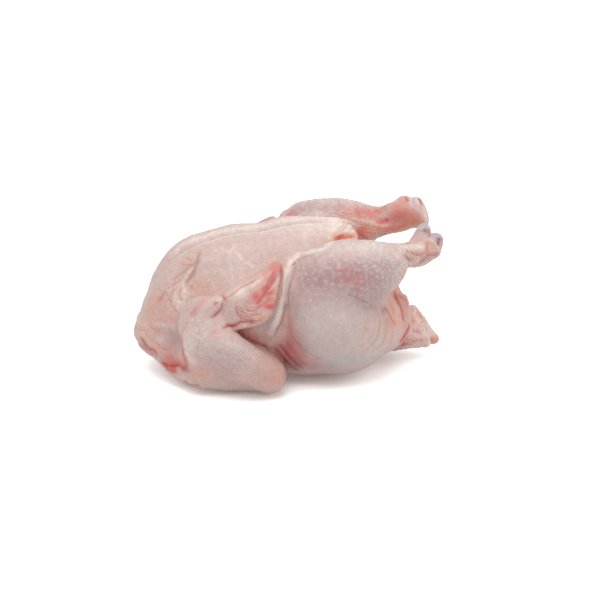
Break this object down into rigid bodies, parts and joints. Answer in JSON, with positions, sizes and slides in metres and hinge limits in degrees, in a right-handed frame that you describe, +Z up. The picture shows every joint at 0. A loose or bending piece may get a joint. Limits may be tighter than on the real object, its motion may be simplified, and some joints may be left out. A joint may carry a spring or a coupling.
{
  "type": "whole raw chicken",
  "caption": "Whole raw chicken, plucked and drawn, on its back with folded wings and free drumsticks.",
  "frame": {"origin": "on the surface the bird lies on, under the middle of its box", "axes": "+X from the neck end to the tail, +Z up, and the bird's right side at -Y"},
  "size_m": [0.273, 0.2012, 0.1347],
  "materials": {
    "skin": "satin"
  },
  "bodies": {
    "root": {"chicken": "skin"}
  },
  "joints": []
}
